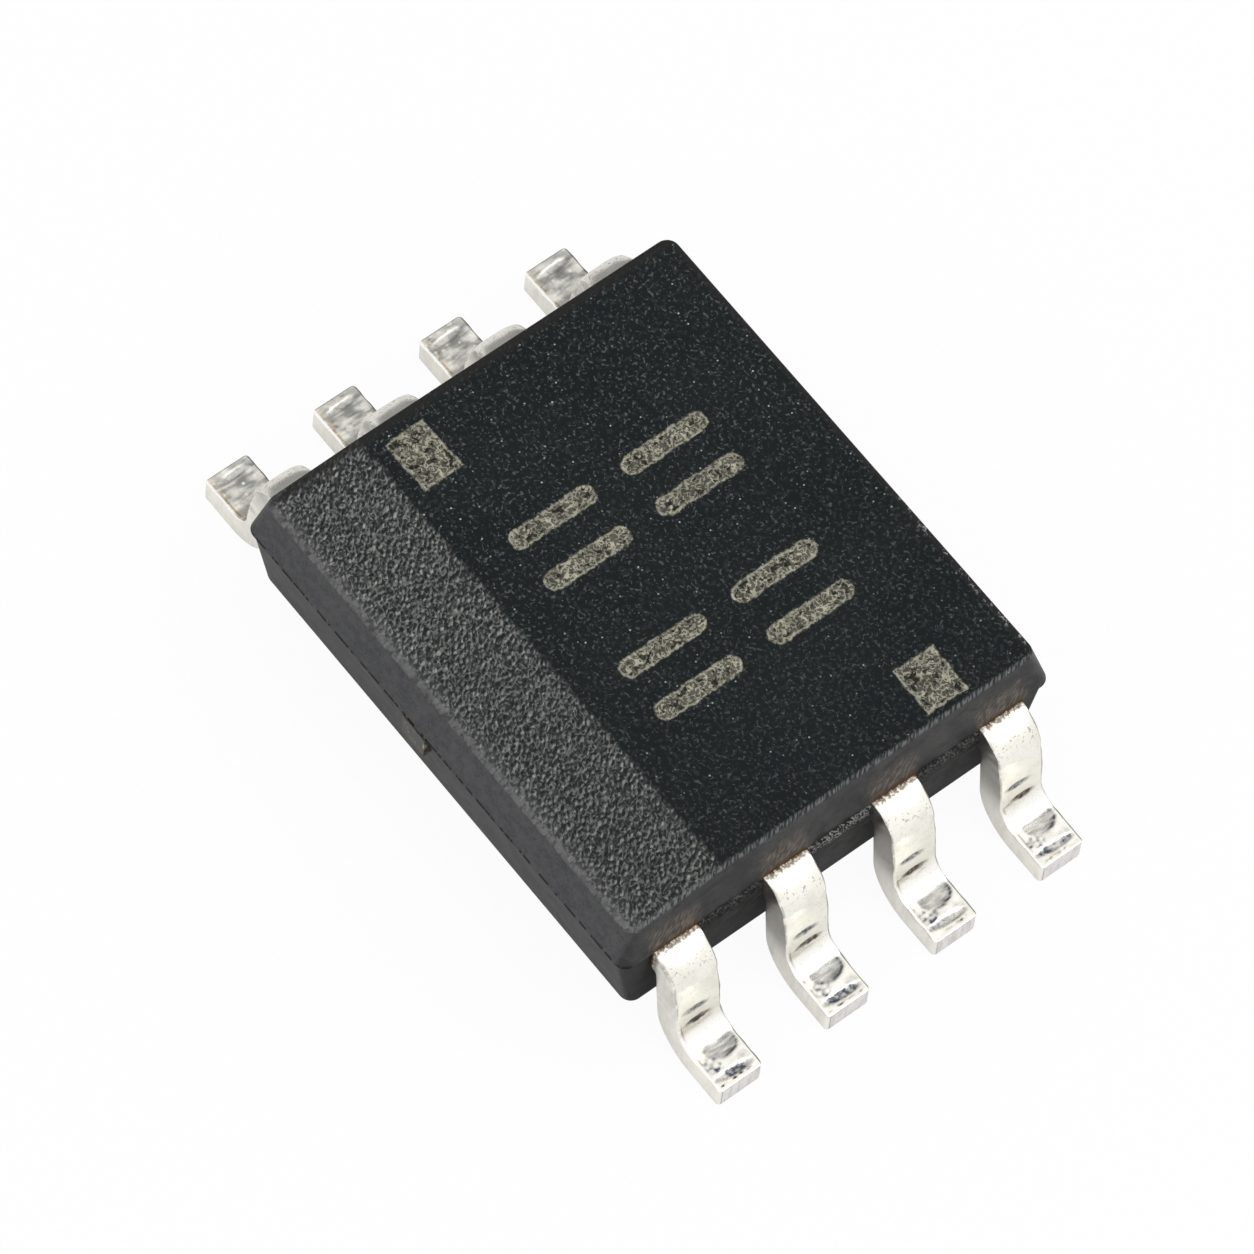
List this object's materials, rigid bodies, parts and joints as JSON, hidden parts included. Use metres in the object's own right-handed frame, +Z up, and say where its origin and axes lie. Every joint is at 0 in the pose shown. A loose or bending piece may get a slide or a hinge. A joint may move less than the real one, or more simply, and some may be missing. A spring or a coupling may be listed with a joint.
{
  "type": "bus transceiver chip",
  "caption": "Bus transceiver chip in a thin surface-mount package: a black moulded body with an index strip, tin-plated gull-wing leads, and a wire-bonded die on a pad inside.",
  "frame": {"origin": "on the board under the middle of the body, in the plane of the lead feet", "axes": "+Z up from the board, +X across the two lead rows towards leads 5 to 8, +Y along the rows towards the index strip"},
  "size_m": [0.003, 0.002, 0.0008],
  "materials": {
    "mold_compound": "matte black epoxy moulding compound, rougher on the index strip",
    "tin_plate": "matte tin plating on copper alloy",
    "copper_alloy": "bare copper alloy lead frame",
    "die_attach_epoxy": "silver-filled epoxy",
    "silicon": "polished silicon",
    "gold_wire": "drawn gold wire"
  },
  "bodies": {
    "root": {"mold_body": "mold_compound", "lead_1": "tin_plate", "lead_2": "tin_plate", "lead_3": "tin_plate", "lead_4": "tin_plate", "lead_5": "tin_plate", "lead_6": "tin_plate", "lead_7": "tin_plate", "lead_8": "tin_plate", "die_pad": "copper_alloy", "die_attach": "die_attach_epoxy", "die": "silicon", "bond_wire_1": "gold_wire", "bond_wire_2": "gold_wire", "bond_wire_3": "gold_wire", "bond_wire_4": "gold_wire", "bond_wire_5": "gold_wire", "bond_wire_6": "gold_wire", "bond_wire_7": "gold_wire", "bond_wire_8": "gold_wire"}
  },
  "joints": []
}
